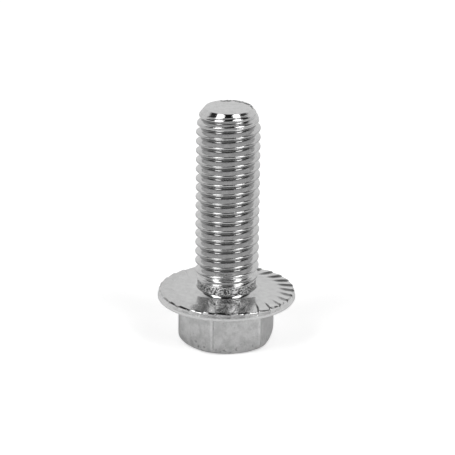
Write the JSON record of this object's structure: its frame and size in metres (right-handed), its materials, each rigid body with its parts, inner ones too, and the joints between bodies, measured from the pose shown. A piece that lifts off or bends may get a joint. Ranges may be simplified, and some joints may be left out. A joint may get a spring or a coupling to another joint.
{
  "type": "flange bolt",
  "caption": "Hexagon flange bolt with a serrated bearing face, a right-hand threaded shank over a short plain neck and a tapered tip, for clamping parts with no loose washer.",
  "frame": {"origin": "centre of the bearing face, on the bolt's axis; the head's end face, on which the bolt stands, is 8.35 mm below it", "axes": "+Z along the shank from the bearing face to the tip; the thread and the teeth turn about it, and -Y faces the viewer of the picture"},
  "size_m": [0.0216, 0.0216, 0.0382],
  "materials": {
    "zinc_steel": "bright zinc plating over cold-forged steel"
  },
  "bodies": {
    "root": {"flange_bolt": "zinc_steel"}
  },
  "joints": []
}
